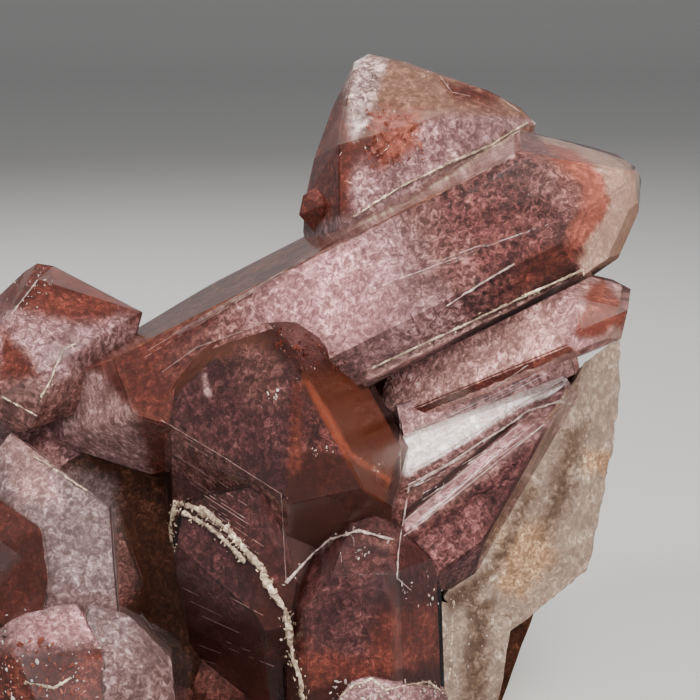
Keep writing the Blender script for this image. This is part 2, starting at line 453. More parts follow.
# Granular materials: how strongly and how deep, in millimetres, the grains stand out, and shader values
GRANULAR = {
    "granular_phantom": (0.35, 0.25, {"Roughness": 0.6, "Specular IOR Level": 0.25}),
    "milky_quartz": (0.5, 0.3, {"Roughness": 0.32, "Subsurface Weight": 0.35,
                                "Subsurface Radius": (1.0, 0.7, 0.5), "Subsurface Scale": 2.0 * MM}),
    "seam_filling": (0.5, 0.15, {"Roughness": 0.5}),
    "crumbs": (0.5, 0.15, {"Roughness": 0.18}),
}

# Mesh sizes as shares of the phantom step, and the milky quartz's in millimetres; then the most rounds
# of splitting, how far a face must turn to the viewer to count as seen, and from where an edge is sharp
FINEST_STEP = 0.7
FINEST_LIFT = 0.2
COARSE_STEP = 2.5
HIDDEN_STEP = 3.0
MILKY_STEP = 0.7
MILKY_HIDDEN_STEP = 1.6
SPLITS = 9
SEEN_FACING = 0.02
SHARP = math.radians(20.0)

# Noise: sizes in millimetres and strengths of the lumps, of the rims of areas (with a shift), of the
# bands along a crystal and of those up a broken piece, and how far grains and lumps are sunk
MILKY_LUMPS = ((3.2, 1.0), (1.1, 0.45))
RAGGED = ((1.6, 5.0, 0.0), (0.7, 2.5, 40.0))
RAGGED_SOFTNESS = 6.0
ALONG_WAVER = (3.5, 0.035)
UP_WAVER = (4.5, 0.1)
GRAINS_SUNK = 0.4
LUMPS_SUNK = 0.2

# The stage, in metres, and its lights, in layout millimetres; only mirrored ones show in polished faces
FLOOR_WIDTH = 6.0
FLOOR_FRONT = -3.0
FLOOR_BACK = 1.2
FLOOR_CURVE = 0.6
FLOOR_TOP = 3.0
FLOOR_BENDS = 12
FLOOR_ROUGHNESS = 0.9
FOCAL_LENGTH = 108.0
SENSOR = 36.0
NEAREST_SEEN = 0.01
SKY = (0.86, 0.88, 0.92, 1.0)
SKY_STRENGTH = 0.22
LIGHTS = {
    "key": dict(place=(0.30, 0.52, 0.80), away=450.0, size=200.0, share=1.0, target=(0.0, 0.0, 0.0),
                colour=(1.0, 0.96, 0.91), mirrored=False),
    "glint": dict(place=(-0.473, 0.741, 0.476), away=420.0, size=90.0, share=0.30, target=(19.0, -8.0, 7.0),
                  colour=(1.0, 0.97, 0.94), mirrored=True),
    "side": dict(place=(0.93, 0.1, 0.35), away=600.0, size=260.0, share=0.5, target=(0.0, 0.0, 0.0),
                 colour=(1.0, 0.97, 0.93), mirrored=False),
    "low": dict(place=(-0.35, -0.05, 0.93), away=600.0, size=300.0, share=0.4, target=(0.0, 0.0, 0.0),
                colour=(0.94, 0.96, 1.0), mirrored=False),
    "back": dict(place=(-0.25, 0.8, -0.55), away=500.0, size=220.0, share=0.6, target=(0.0, 0.0, 0.0),
                 colour=(1.0, 1.0, 1.0), mirrored=False),
}


def view_directions():
    """The layout's across, up and toward directions in the frame."""
    drop = math.radians(VIEW_DROP)
    across = Vector((1.0, 0.0, 0.0))
    up = Vector((0.0, math.sin(drop), math.cos(drop)))
    toward = Vector((0.0, -math.cos(drop), math.sin(drop)))
    return across, up, toward


def layout_to_frame():
    turn = Matrix(view_directions()).transposed().to_4x4()
    return Matrix.Scale(MM, 4) @ Matrix.Translation(LAYOUT_ORIGIN) @ turn


TO_FRAME = layout_to_frame()


def seen_at(across, up, toward):
    """Point that the viewer sees at (across, up) when it lies this far toward the viewer."""
    nearness = (VIEW_DISTANCE - toward) / VIEW_DISTANCE
    return Vector((across * nearness, up * nearness, toward))


def base_plane(above=0.0):
    """The flat cut below, as a point and the way it faces, in the layout."""
    drop = math.radians(VIEW_DROP)
    upright = Vector((0.0, math.cos(drop), math.sin(drop)))
    return upright * (above - BASE_BELOW_CENTRE), -upright


def crystal_axes(heading, rise, turn):
    """Unit axis of a crystal, and two directions across it, the first nearest the viewer at turn 0."""
    head, lift, roll = (math.radians(angle) for angle in (heading, rise, turn))
    axis = Vector((math.cos(lift) * math.cos(head), math.cos(lift) * math.sin(head), math.sin(lift)))
    viewer = Vector((0.0, 0.0, 1.0))
    facing = (viewer - axis * viewer.dot(axis)).normalized()
    sideways = axis.cross(facing)
    first = math.cos(roll) * facing + math.sin(roll) * sideways
    return axis, first, axis.cross(first)


def block_blank():
    body = bmesh.new()
    bmesh.ops.create_cube(body, size=BLANK)
    return body


def cut_by(body, planes):
    """What is left of a body behind every plane."""
    for point, normal in planes:
        geometry = body.verts[:] + body.edges[:] + body.faces[:]
        cut = bmesh.ops.bisect_plane(body, geom=geometry, plane_co=point, plane_no=normal,
                                     clear_outer=True, dist=0.0001)
        rim = [item for item in cut["geom_cut"] if isinstance(item, bmesh.types.BMEdge)]
        if rim:
            bmesh.ops.contextual_create(body, geom=rim)
    return body


def crystal_faces(centre, heading, rise, turn, sides, tip, root):
    """The 18 faces of a crystal: a label, a point on the face and the way it faces."""
    axis, first, second = crystal_axes(heading, rise, turn)
    centre = Vector(centre)
    slope = math.radians(TIP_SLOPE)
    faces = []
    for index in range(6):
        angle = math.radians(60.0 * index)
        outward = math.cos(angle) * first + math.sin(angle) * second
        faces.append((f"m{index}", centre + outward * sides[index], outward))
        faces.append((f"t{index}", centre + axis * tip[index],
                      math.sin(slope) * outward + math.cos(slope) * axis))
        faces.append((f"b{index}", centre - axis * root[index],
                      math.sin(slope) * outward - math.cos(slope) * axis))
    return faces


def quartz_crystal(values, breaks=(), above_base=0.0, break_gap=0.0):
    """Six-sided prism with a six-faced point at both ends, cut off at the base."""
    planes = [base_plane(above_base)]
    planes += [(point, facing) for label, point, facing in crystal_faces(**values)]
    for point, facing in breaks:
        outward = Vector(facing).normalized()
        planes.append((seen_at(*point) - outward * break_gap, outward))
    return cut_by(block_blank(), planes)


def wrapped_corners(corners, depth, shrink=1.0, above_base=0.0):
    """Solid that wraps the corners and a narrower copy of them pushed back into the cluster."""
    front = [seen_at(*corner) for corner in corners]
    middle = sum(front, Vector()) / len(front)
    back = [middle + (point - middle) * ROUGH_NARROWING - Vector((0.0, 0.0, depth)) for point in front]
    centre = (sum(front, Vector()) + sum(back, Vector())) / (2 * len(front))
    body = bmesh.new()
    for point in front + back:
        body.verts.new(centre + (point - centre) * shrink)
    bmesh.ops.convex_hull(body, input=body.verts[:])
    loose = [vert for vert in body.verts if not vert.link_faces]
    bmesh.ops.delete(body, geom=loose, context="VERTS")
    return cut_by(body, [base_plane(above_base)])


def stepped_directions():
    """Directions along the stepped crystal and across it, in the picture."""
    heading = math.radians(STEPPED_HEADING)
    along = Vector((math.cos(heading), math.sin(heading), 0.0))
    return along, Vector((-along.y, along.x, 0.0))


def stepped_crystal(inset=0.0):
    """Crystal with parallel growth steps, drawn from its near section to its far one."""
    along, upward = stepped_directions()
    toward = Vector((0.0, 0.0, 1.0))
    centre = Vector((*STEPPED_CENTRE, 0.0))

    def place(reach, up, out):
        nearness = (VIEW_DISTANCE - out) / VIEW_DISTANCE
        return (centre + along * reach + upward * up) * nearness + toward * out

    start, stop = STEPPED_MEASURED
    body = bmesh.new()
    rings = []
    for reach in STEPPED_ENDS:
        share = (reach - start) / (stop - start)
        ring = []
        for near, far in zip(STEPPED_NEAR, STEPPED_FAR):
            up = near[0] + (far[0] - near[0]) * share
            out = near[1] + (far[1] - near[1]) * share
            up -= inset * (1.0 if up > 0 else -1.0)
            ring.append(body.verts.new(place(reach, up, out - inset * (1.0 if out > 0 else -1.0))))
        rings.append(ring)
    for index in range(len(STEPPED_NEAR)):
        after = (index + 1) % len(STEPPED_NEAR)
        body.faces.new((rings[0][index], rings[0][after], rings[1][after], rings[1][index]))
    body.faces.new(rings[0])
    body.faces.new(rings[1])
    planes = []
    for (reach, up, out), facing in STEPPED_CUTS:
        normal = (along * facing[0] + upward * facing[1] + toward * facing[2]).normalized()
        planes.append((place(reach, up, out) - normal * inset, normal))
    return cut_by(body, planes)


def back_values(values, skin=0.0, gap=0.0):
    """Faces' distances of a crystal on the hidden side."""
    full = {key: values[key] for key in ("centre", "heading", "rise", "turn")}
    full["sides"] = tuple(values["girth"] * (1.0 + SIDE_SPREAD * (index % 3)) - skin for index in range(6))
    full["tip"] = tuple(values["reach"] - gap + SMALL_FACE_STEP * (index % 2) for index in range(6))
    full["root"] = (values["root_reach"] - gap,) * 6
    return full


def mesh_from(body, name):
    bmesh.ops.recalc_face_normals(body, faces=body.faces[:])
    mesh = bpy.data.meshes.new(name)
    body.to_mesh(mesh)
    body.free()
    return mesh


def add_object(name, mesh):
    obj = bpy.data.objects.new(name, mesh)
    bpy.context.collection.objects.link(obj)
    return obj


def baked(obj):
    """Plain mesh of an object with its modifiers applied."""
    bpy.context.view_layer.update()
    solid = obj.evaluated_get(bpy.context.evaluated_depsgraph_get())
    return bpy.data.meshes.new_from_object(solid)


def drop(objects):
    for obj in objects:
        bpy.data.objects.remove(obj, do_unlink=True)


def clear_bodies():
    """The bodies whose outside is clear quartz, in the layout."""
    bodies = {}
    for name, values in CRYSTALS.items():
        bodies[name] = quartz_crystal(values, BREAKS.get(name, ()))
    bodies["stepped"] = stepped_crystal()
    for name, corners in ROUGH.items():
        if name not in MILKY:
            bodies[name] = wrapped_corners(corners, ROUGH_DEPTH[name])
    for name, values in BACK_CRYSTALS.items():
        bodies[name] = quartz_crystal(back_values(values))
    return bodies


def united(bodies, name):
    """One outer skin from overlapping bodies."""
    objects = [add_object(key, mesh_from(body, key)) for key, body in bodies.items()]
    grown = bpy.data.collections.new("grown_together")
    for obj in objects[1:]:
        grown.objects.link(obj)
    union = objects[0].modifiers.new("grown_together", "BOOLEAN")
    union.operation = "UNION"
    union.operand_type = "COLLECTION"
    union.collection = grown
    mesh = baked(objects[0])
    mesh.name = name
    drop(objects)
    bpy.data.collections.remove(grown)
    return mesh


def tone_stops(tones, shares):
    """Colours and grain at these shares of the way along a list of (share, tone)."""
    stops = [stop for stop, tone in tones]
    channels = [np.interp(shares, stops, [tone[index] for stop, tone in tones]) for index in range(4)]
    return np.stack(channels, axis=1)


def vertex_places(mesh):
    flat = np.empty(len(mesh.vertices) * 3)
    mesh.vertices.foreach_get("co", flat)
    return flat.reshape(-1, 3)


def seen_places(places):
    """Column and row at which the viewer sees each place."""
    nearness = (VIEW_DISTANCE - places[:, 2]) / VIEW_DISTANCE
    middle = FRAME_POINTS / 2.0
    columns = middle + places[:, 0] / nearness * POINTS_PER_MM
    rows = middle - places[:, 1] / nearness * POINTS_PER_MM
    return np.stack([columns, rows], axis=1)


def depth_inside(spots, corners):
    """How far each spot lies inside a polygon, in frame points, below zero outside it."""
    nearest = np.full(len(spots), np.inf)
    inside = np.zeros(len(spots), dtype=bool)
    for (ax, ay), (bx, by) in zip(corners, corners[1:] + corners[:1]):
        span = np.array([bx - ax, by - ay])
        rel = spots - np.array([ax, ay])
        share = np.clip(rel @ span / (span @ span), 0.0, 1.0)
        nearest = np.minimum(nearest, np.linalg.norm(rel - share[:, None] * span, axis=1))
        crosses = (ay > spots[:, 1]) != (by > spots[:, 1])
        if by != ay:
            inside ^= crosses & (spots[:, 0] < (bx - ax) * (spots[:, 1] - ay) / (by - ay) + ax)
    return np.where(inside, nearest, -nearest)


def wavering(places, size):
    """Smooth noise at every place, about -1 to 1."""
    return np.array([noise.noise(Vector(place) / size) for place in places])


def paint(mesh, colours, areas):
    """Store the phantom's colour at every vertex, with the areas laid over it."""
    places = vertex_places(mesh)
    spots = seen_places(places)
    ragged = sum(wavering(places + shift, size) * strength for size, strength, shift in RAGGED)
    for colour, softness, corners in areas:
        reach = depth_inside(spots, corners) + ragged * min(1.0, softness / RAGGED_SOFTNESS)
        weight = np.clip(0.5 + reach / (2.0 * softness), 0.0, 1.0)
        colours = colours * (1.0 - weight[:, None]) + np.array(colour) * weight[:, None]
    layer = mesh.color_attributes.new("tone", "FLOAT_COLOR", "POINT")
    layer.data.foreach_set("color", colours.ravel())


def crystal_colours(mesh, values, tones):
    """Colours of a phantom by its share along the axis and the face each vertex is on."""
    places = vertex_places(mesh)
    axis = np.array(crystal_axes(values["heading"], values["rise"], values["turn"])[0])
    along = (places - np.array(values["centre"])) @ axis
    size, strength = ALONG_WAVER
    share = (along - along.min()) / (along.max() - along.min()) + strength * wavering(places, size)
    colours = tone_stops(tones["all"], share)
    faces = crystal_faces(**values)
    heights = np.stack([(places - np.array(point)) @ np.array(facing) for label, point, facing in faces])
    nearest = heights.argmax(axis=0)
    for index, (label, point, facing) in enumerate(faces):
        if label in tones:
            chosen = nearest == index
            colours[chosen] = tone_stops(tones[label], share[chosen])
    return colours


def height_colours(mesh, tones):
    places = vertex_places(mesh)
    heights = places[:, 1]
    size, strength = UP_WAVER
    share = (heights - heights.min()) / (heights.max() - heights.min()) + strength * wavering(places, size)
    return tone_stops(tones, share)


def refined(body, step, hidden_step):
    """Split a body's edges until they are short, shorter where the viewer sees them."""
    bmesh.ops.triangulate(body, faces=body.faces[:])
    bmesh.ops.recalc_face_normals(body, faces=body.faces[:])
    for level in range(SPLITS):
        long_edges = []
        for edge in body.edges:
            seen = any(face.normal.z > SEEN_FACING for face in edge.link_faces)
            if edge.calc_length() > (step if seen else hidden_step):
                long_edges.append(edge)
        if not long_edges:
            break
        bmesh.ops.subdivide_edges(body, edges=long_edges, cuts=1)
        wide = [face for face in body.faces if len(face.verts) > 3]
        bmesh.ops.triangulate(body, faces=wide)
    for face in body.faces:
        face.smooth = True
    for edge in body.edges:
        edge.smooth = edge.calc_face_angle(0.0) < SHARP
    return body


def unevened(mesh, lift_at):
    """Push every vertex of a mesh along its normal, by what lift_at gives for its place."""
    places = vertex_places(mesh)
    normals = np.empty(len(places) * 3)
    mesh.vertex_normals.foreach_get("vector", normals)
    lifts = np.array([lift_at(Vector(place)) for place in places])
    mesh.vertices.foreach_set("co", (places + normals.reshape(-1, 3) * lifts[:, None]).ravel())
    mesh.update()
    return mesh


def grainy(body, name, step, lift, grain):
    """Mesh of a phantom with a fine uneven surface."""
    mesh = mesh_from(refined(body, step, step * HIDDEN_STEP), name)
    return unevened(mesh, lambda place: lift * (noise.noise(place / grain) - GRAINS_SUNK))


def milky_lumps(place):
    """How far the milky quartz stands out or in at a place."""
    lumps = sum(share * noise.noise(place / size) for size, share in MILKY_LUMPS)
    return look().milky_lift * (lumps - LUMPS_SUNK)


def new_node(tree, kind, values=None, **settings):
    """Add a node with its settings, and with a value or a socket to link for each input named."""
    node = tree.nodes.new(kind)
    for key, setting in settings.items():
        setattr(node, key, setting)
    for key, value in (values or {}).items():
        if isinstance(value, bpy.types.NodeSocket):
            tree.links.new(value, node.inputs[key])
        else:
            node.inputs[key].default_value = value
    return node


def new_material(name, values):
    """Material with these values for its shader's inputs."""
    material = bpy.data.materials.new(name)
    material.use_nodes = True
    for key, value in values.items():
        material.node_tree.nodes["Principled BSDF"].inputs[key].default_value = value
    return material


def feed_shader(tree, key, socket):
    tree.links.new(socket, tree.nodes["Principled BSDF"].inputs[key])


def ramp(tree, share, stops):
    node = new_node(tree, "ShaderNodeValToRGB", {"Fac": share})
    elements = node.color_ramp.elements
    while len(elements) < len(stops):
        elements.new(0.5)
    for element, (place, colour) in zip(elements, stops):
        element.position = place
        element.color = (*colour, 1.0)
    return node.outputs["Color"]


def noise_texture(tree, coordinates, scale, detail, rough, warp):
    values = {"Vector": coordinates, "Scale": scale, "Detail": detail, "Roughness": rough, "Distortion": warp}
    return new_node(tree, "ShaderNodeTexNoise", values).outputs["Fac"]


def maths(tree, operation, first, second):
    """Result of a math node; each of its two inputs is a socket or a number."""
    return new_node(tree, "ShaderNodeMath", {0: first, 1: second}, operation=operation).outputs["Value"]


def mixed(tree, share, first, second, blend="MIX"):
    values = {"Factor": share, "A": first, "B": second}
    return new_node(tree, "ShaderNodeMix", values, data_type="RGBA", blend_type=blend).outputs["Result"]


def bumped(tree, height, strength, depth):
    values = {"Strength": strength, "Distance": depth * MM, "Height": height}
    return new_node(tree, "ShaderNodeBump", values).outputs["Normal"]


def grain_group():
    """Granular inclusions: dark and pale grains over a tone, and the height of the grains."""
    group = bpy.data.node_groups.new("granular_inclusions", "ShaderNodeTree")
    for label, way, kind in (("Tone", "INPUT", "Color"), ("Grain", "INPUT", "Float"),
                             ("Colour", "OUTPUT", "Color"), ("Height", "OUTPUT", "Float")):
        group.interface.new_socket(label, in_out=way, socket_type=f"NodeSocket{kind}")
    entry = new_node(group, "NodeGroupInput")
    place = new_node(group, "ShaderNodeTexCoord").outputs["Object"]
    fine = noise_texture(group, place, scale=1150.0, detail=12.0, rough=0.75, warp=0.8)
    patches = noise_texture(group, place, scale=170.0, detail=5.0, rough=0.6, warp=0.9)
    grains, clouds = ramp(group, fine, GRAIN_STOPS), ramp(group, patches, CLOUD_STOPS)
    grains = mixed(group, 1.0, grains, clouds, blend="MULTIPLY")
    grains = mixed(group, entry.outputs["Grain"], (1.0, 1.0, 1.0, 1.0), grains)
    shaded = mixed(group, 1.0, entry.outputs["Tone"], grains, blend="MULTIPLY")
    new_node(group, "NodeGroupOutput", {"Colour": shaded, "Height": fine})
    return group


def granular_material(name):
    """Opaque mineral: the grain group over the tone that is stored on the piece."""
    strength, depth, values = GRANULAR[name]
    material = new_material(name, values)
    tree = material.node_tree
    tone = new_node(tree, "ShaderNodeAttribute", attribute_name="tone")
    group = bpy.data.node_groups.get("granular_inclusions") or grain_group()
    fed = {"Tone": tone.outputs["Color"], "Grain": tone.outputs["Alpha"]}
    grains = new_node(tree, "ShaderNodeGroup", fed, node_tree=group)
    feed_shader(tree, "Base Color", grains.outputs["Colour"])
    feed_shader(tree, "Normal", bumped(tree, grains.outputs["Height"], strength, depth))
    return material


def clear_material():
    """Clear quartz: growth lines across the crystals, dull where it broke."""
    size = look()
    material = new_material("clear_quartz", CLEAR)
    tree = material.node_tree
    finish = new_node(tree, "ShaderNodeAttribute", attribute_name="finish")
    parts = new_node(tree, "ShaderNodeSeparateColor", {"Color": finish.outputs["Color"]})
    lined, broken = parts.outputs["Red"], parts.outputs["Green"]
    strike = new_node(tree, "ShaderNodeUVMap", uv_map="strike")
    stretch = new_node(tree, "ShaderNodeMapping", {"Vector": strike.outputs["UV"], "Scale": LINE_STRETCH})
    lines = noise_texture(tree, stretch.outputs["Vector"], scale=1.0, detail=3.0, rough=0.6, warp=0.3)
    place = new_node(tree, "ShaderNodeTexCoord").outputs["Object"]
    pits = noise_texture(tree, place, scale=420.0, detail=6.0, rough=0.65, warp=0.4)
    dull = noise_texture(tree, place, scale=95.0, detail=4.0, rough=0.6, warp=0.5)
    spread = new_node(tree, "ShaderNodeMapRange", {"Value": dull, "From Min": DULL_FROM, "From Max": DULL_TO,
                                                   "To Min": size.polish, "To Max": size.frost})
    roughened = maths(tree, "MULTIPLY", broken, size.break_roughness)
    feed_shader(tree, "Roughness", maths(tree, "ADD", spread.outputs["Result"], roughened))
    pitted = maths(tree, "ADD", maths(tree, "MULTIPLY", broken, BROKEN_PITS), PITS)
    height = maths(tree, "ADD", maths(tree, "MULTIPLY", lines, lined), maths(tree, "MULTIPLY", pits, pitted))
    feed_shader(tree, "Normal", bumped(tree, height, strength=0.35, depth=0.07))
    inside = new_node(tree, "ShaderNodeVolumeAbsorption", ABSORPTION)
    tree.links.new(inside.outputs["Volume"], tree.nodes["Material Output"].inputs["Volume"])
    return material


def face_finish(label):
    """How strongly a crystal face is lined and how broken it is."""
    return PRISM_FINISH if label.startswith("m") else TIP_FINISH


def dressed_faces(mesh):
    """Map every clear face along its own crystal, and store how lined and how broken it is."""
    known = []
    shapes = list(CRYSTALS.values()) + [back_values(values) for values in BACK_CRYSTALS.values()]
    for values in shapes:
        axis = crystal_axes(values["heading"], values["rise"], values["turn"])[0]
        for label, point, facing in crystal_faces(**values):
            known.append((label, point, facing, axis))
    points = np.array([point for label, point, facing, axis in known])
    facings = np.array([facing for label, point, facing, axis in known])
    strike = mesh.uv_layers.new(name="strike")
    finish = mesh.color_attributes.new("finish", "FLOAT_COLOR", "CORNER")
    stepped_axis = stepped_directions()[0]
    for face in mesh.polygons:
        centre, normal = np.array(face.center), np.array(face.normal)
        miss = np.abs(((centre - points) * facings).sum(axis=1)) + TURNED_AWAY * (1.0 - facings @ normal)
        best = int(miss.argmin())
        axis, marks = stepped_axis, BROKEN_FINISH
        if miss[best] < SAME_FACE:
            axis, marks = known[best][3], face_finish(known[best][0])
        across = axis.cross(face.normal)
        for corner in face.loop_indices:
            place = mesh.vertices[mesh.loops[corner].vertex_index].co
            strike.data[corner].uv = (place.dot(axis) / MAP_SIZE, place.dot(across) / MAP_SIZE)
            finish.data[corner].color = (*marks, 0.0, 1.0)


def build_phantoms():
    """Granular inner crystals, each inside its own clear one."""
    size = look()
    fine = (size.phantom_step, size.phantom_lift, size.grain_size)
    finest = (size.phantom_step * FINEST_STEP, size.phantom_lift * FINEST_LIFT, size.grain_size)
    coarse = (size.phantom_step * COARSE_STEP, size.phantom_lift, size.grain_size)
    groups = {"long_phantoms": [], "upright_phantoms": [], "broken_phantoms": []}
    for name, outer in CRYSTALS.items():
        inner = PHANTOMS[name]
        values = dict(outer)
        values["sides"] = tuple(side - skin for side, skin in zip(outer["sides"], inner["skin"]))
        values["tip"] = tuple(reach - gap for reach, gap in zip(outer["tip"], inner["tip_gap"]))
        values["root"] = tuple(reach - inner["root_gap"] for reach in outer["root"])
        body = quartz_crystal(values, BREAKS.get(name, ()), BASE_GAP, inner["break_gap"])
        upright = name in UPRIGHT
        mesh = grainy(body, name, *(finest if upright else fine))
        paint(mesh, crystal_colours(mesh, values, inner["tones"]), AREAS.get(name, ()))
        groups["upright_phantoms" if upright else "long_phantoms"].append(mesh)
    for name, inner in ROUGH_PHANTOMS.items():
        body = wrapped_corners(ROUGH[name], ROUGH_DEPTH[name], inner["shrink"], above_base=BASE_GAP)
        mesh = grainy(body, name, *fine)
        paint(mesh, height_colours(mesh, inner["tones"]), AREAS.get(name, ()))
        groups["broken_phantoms"].append(mesh)
    mesh = grainy(stepped_crystal(size.step_skin), "stepped", *finest)
    paint(mesh, height_colours(mesh, STEPPED_TONES), AREAS["stepped"])
    groups["long_phantoms"].append(mesh)
    for name, values in BACK_CRYSTALS.items():
        body = quartz_crystal(back_values(values, skin=BACK_SKIN, gap=BACK_TIP_GAP), above_base=BASE_GAP)
        mesh = grainy(body, name, *coarse)
        paint(mesh, height_colours(mesh, BACK_TONES), ())
        groups["broken_phantoms"].append(mesh)
    mesh = grainy(wrapped_corners(HEART, HEART_DEPTH, HEART_SHRINK, above_base=BASE_GAP), "heart", *coarse)
    paint(mesh, height_colours(mesh, HEART_TONES), AREAS["heart"])
    groups["broken_phantoms"].append(mesh)
    return groups


def joined(meshes, name):
    objects = [add_object(f"{name}_{index}", mesh) for index, mesh in enumerate(meshes)]
    with bpy.context.temp_override(active_object=objects[0], selected_editable_objects=objects):
        bpy.ops.object.join()
    whole = objects[0]
    whole.name = name
    return whole


def set_piece(obj, material):
    """Give a piece its material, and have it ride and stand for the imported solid."""
    obj.data.materials.clear()
    obj.data.materials.append(material)
    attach(obj, "root")
    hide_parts(NODE)


class SeenSurface:
    """The quartz as the viewer sees it, to lay seams and crumbs on."""

    def __init__(self, names):
        verts, faces = [], []
        for name in names:
            mesh = bpy.data.objects[name].data
            start = len(verts)
            verts += [vert.co.copy() for vert in mesh.vertices]
            faces += [[start + index for index in face.vertices] for face in mesh.polygons]
        self.tree = BVHTree.FromPolygons(verts, faces)
        self.eye = TO_FRAME @ Vector((0.0, 0.0, VIEW_DISTANCE))

    def landing(self, column, row):
        """Place and facing of the quartz at a point of the frame, or nothing."""
        middle = FRAME_POINTS / 2.0
        aim = Vector(((column - middle) / POINTS_PER_MM, (middle - row) / POINTS_PER_MM, 0.0))
        place, normal, *rest = self.tree.ray_cast(self.eye, (TO_FRAME @ aim - self.eye).normalized())
        return place, normal


def walk(corners, step):
    """Spots a step apart along a line of corners."""
    for (ax, ay), (bx, by) in zip(corners, corners[1:]):
        count = max(1, round(math.hypot(bx - ax, by - ay) / step))
        for index in range(count):
            share = index / count
            yield ax + (bx - ax) * share, ay + (by - ay) * share
    yield corners[-1]


def point_mesh(name, points, links, numbers, colours):
    """Mesh of points and links with a size and a tone at every point."""
    mesh = bpy.data.meshes.new(name)
    mesh.from_pydata(points, links, [])
    size = mesh.attributes.new("size", "FLOAT", "POINT")
    size.data.foreach_set("value", numbers)
    tone = mesh.attributes.new("tone", "FLOAT_COLOR", "POINT")
    tone.data.foreach_set("color", [channel for colour in colours for channel in colour])
    return add_object(name, mesh)


def growth_lines(dice):
    """Short lines across the lined faces, as seams are listed."""
    lines = []
    for tone, count, width, (first, second, third, fourth) in LINED:
        for index in range(count):
            down = (index + dice.uniform(*LINE_PLACE)) / count
            left = Vector(first).lerp(Vector(fourth), down)
            right = Vector(second).lerp(Vector(third), down)
            start = dice.uniform(*LINE_START)
            stop = min(1.0, start + dice.uniform(*LINE_LENGTH))
            ends = [tuple(left.lerp(right, share)) for share in (start, stop)]
            lines.append((tone, width * dice.uniform(*LINE_WIDTH), ends))
    return lines


def seam_lines(surface):
    """Points of the seams where they lie on the quartz."""
    dice = random.Random(look().seed)
    points, links, widths, colours = [], [], [], []
    for colour, width, corners in SEAMS + growth_lines(dice):
        last = None
        for column, row in walk(corners, SEAM_STEP):
            stray = SEAM_STRAY * min(1.0, width / CRUSTED)
            place, normal = surface.landing(column + dice.uniform(-stray, stray),
                                            row + dice.uniform(-stray, stray))
            swell = noise.noise(Vector((column, row, 10.0 * width)) / SWELL_LENGTH)
            share = SWELL_LEVEL + SWELL * swell + dice.uniform(-SWELL_DICE, SWELL_DICE)
            thick = width * look().seam_width * MM * share
            if place is None or thick < SEAM_GONE * MM:
                last = None
                continue
            points.append(place - normal * thick * SEAM_SUNK)
            widths.append(thick)
            colours.append(colour)
            if last is not None and (points[-1] - points[last]).length < SEAM_JUMP * MM:
                links.append((last, len(points) - 1))
            last = len(points) - 1
    return point_mesh("seams", points, links, widths, colours)


def crumb_points(surface):
    """Points where crumbs and flakes cling to broken zones."""
    dice = random.Random(look().seed + 1)
    points, sizes, colours = [], [], []
    for colour, count, smallest, largest, corners in CRUMBS:
        columns = [column for column, row in corners]
        rows = [row for column, row in corners]
        for trial in range(count * CRUMB_TRIALS):
            spot = (dice.uniform(min(columns), max(columns)), dice.uniform(min(rows), max(rows)))
            if depth_inside(np.array([spot]), corners)[0] < 0.0:
                continue
            place, normal = surface.landing(*spot)
            if place is None:
                continue
            size = dice.uniform(smallest, largest) * dice.uniform(*CRUMB_SIZES) * MM
            points.append(place - normal * size * CRUMB_SUNK)
            sizes.append(size)
            shade = dice.uniform(*CRUMB_SHADES)
            colours.append((*(channel * shade for channel in colour[:3]), colour[3]))
    for colour, width, corners in SEAMS:
        spread = CRUST_SPREAD * math.sqrt(width / CRUSTED)
        spots = [spot for spot in walk(corners, SEAM_STEP) for layer in range(int(width / CRUSTED))]
        for column, row in spots:
            place, normal = surface.landing(column + dice.gauss(0.0, spread), row + dice.gauss(0.0, spread))
            if place is None:
                continue
            size = min(width, CRUST_SIZE) * dice.uniform(*CRUST_SIZES) * MM
            points.append(place - normal * size * CRUMB_SUNK)
            sizes.append(size)
            colours.append(colour)
    return point_mesh("crumbs", points, [], sizes, colours)


def geometry_tree(name, numbers):
    """Geometry Nodes tree with number inputs and a material, and its input node."""
    tree = bpy.data.node_groups.new(name, "GeometryNodeTree")
    tree.is_modifier = True
    for label, kind in (("Geometry", "Geometry"), *numbers, ("Material", "Material")):
        tree.interface.new_socket(label, in_out="INPUT", socket_type=f"NodeSocket{kind}")
    tree.interface.new_socket("Geometry", in_out="OUTPUT", socket_type="NodeSocketGeometry")
    return tree, new_node(tree, "NodeGroupInput")


def end_tree(tree, entry, geometry):
    """Realize the instances and give them the material, as the tree's output."""
    realize = new_node(tree, "GeometryNodeRealizeInstances", {"Geometry": geometry})
    coat = new_node(tree, "GeometryNodeSetMaterial", {"Geometry": realize.outputs["Geometry"],
                                                      "Material": entry.outputs["Material"]})
    new_node(tree, "NodeGroupOutput", {"Geometry": coat.outputs["Geometry"]})
    return tree


def point_size(tree):
    node = new_node(tree, "GeometryNodeInputNamedAttribute", {"Name": "size"}, data_type="FLOAT")
    return node.outputs["Attribute"]


def random_vector(tree, values):
    return new_node(tree, "FunctionNodeRandomValue", values, data_type="FLOAT_VECTOR").outputs["Value"]


def seam_tree():
    """Sweeps a closed tube along every link, as thick as its points say."""
    tree, entry = geometry_tree("seam_tubes", [("Sides", "Int")])
    line = new_node(tree, "GeometryNodeMeshToCurve", {"Mesh": entry.outputs["Geometry"]})
    ring = new_node(tree, "GeometryNodeCurvePrimitiveCircle",
                    {"Radius": 1.0, "Resolution": entry.outputs["Sides"]})
    sweep = new_node(tree, "GeometryNodeCurveToMesh",
                     {"Curve": line.outputs["Curve"], "Profile Curve": ring.outputs["Curve"],
                      "Scale": point_size(tree), "Fill Caps": True})
    return end_tree(tree, entry, sweep.outputs["Mesh"])


